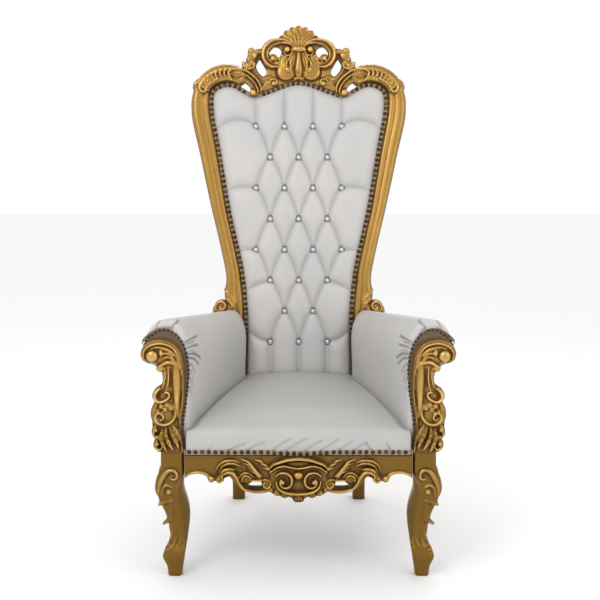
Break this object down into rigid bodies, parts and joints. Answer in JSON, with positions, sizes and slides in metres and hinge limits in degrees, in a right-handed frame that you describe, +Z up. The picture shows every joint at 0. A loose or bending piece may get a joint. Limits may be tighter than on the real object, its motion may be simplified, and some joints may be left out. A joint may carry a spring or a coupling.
{
  "type": "carved throne chair",
  "caption": "High-backed throne with a carved, gilded frame, a tufted back with crystal buttons, padded arms and a deep padded seat.",
  "frame": {"origin": "on the floor, below the middle of the width and the middle of the depth", "axes": "+Z up, -Y the way the throne faces, +X towards the right arm as seen from the front"},
  "size_m": [0.8924, 0.8205, 1.6502],
  "materials": {
    "gilded_frame": "antique gold leaf paint with a brown glaze in the recesses, satin sheen",
    "upholstery": "white leatherette, satin",
    "gimp": "woven gold gimp under a row of dark bronze nail heads",
    "backing": "plain white leatherette outside back, matt",
    "crystal_button": "faceted clear crystal"
  },
  "bodies": {
    "root": {"back_stile_left": "gilded_frame", "back_stile_right": "gilded_frame", "crest_rail": "gilded_frame", "back_pad": "upholstery", "back_panel": "backing", "back_trim": "gimp", "button_1_1": "crystal_button", "button_1_2": "crystal_button", "button_1_3": "crystal_button", "button_1_4": "crystal_button", "button_2_1": "crystal_button", "button_2_2": "crystal_button", "button_2_3": "crystal_button", "button_3_1": "crystal_button", "button_3_2": "crystal_button", "button_3_3": "crystal_button", "button_3_4": "crystal_button", "button_4_1": "crystal_button", "button_4_2": "crystal_button", "button_4_3": "crystal_button", "button_5_1": "crystal_button", "button_5_2": "crystal_button", "button_5_3": "crystal_button", "button_5_4": "crystal_button", "button_6_1": "crystal_button", "button_6_2": "crystal_button", "button_6_3": "crystal_button", "button_7_1": "crystal_button", "button_7_2": "crystal_button", "button_8_1": "crystal_button", "button_8_2": "crystal_button", "button_8_3": "crystal_button", "front_leg_left": "gilded_frame", "front_leg_right": "gilded_frame", "back_leg_left": "gilded_frame", "back_leg_right": "gilded_frame", "side_rail_left": "gilded_frame", "side_rail_right": "gilded_frame", "front_rail": "gilded_frame", "back_rail": "gilded_frame", "arm_post_left": "gilded_frame", "arm_post_right": "gilded_frame", "arm_facing_left": "gimp", "arm_facing_right": "gimp", "arm_pad_left": "upholstery", "arm_pad_right": "upholstery", "seat_cushion": "upholstery", "seat_trim": "gimp"}
  },
  "joints": []
}
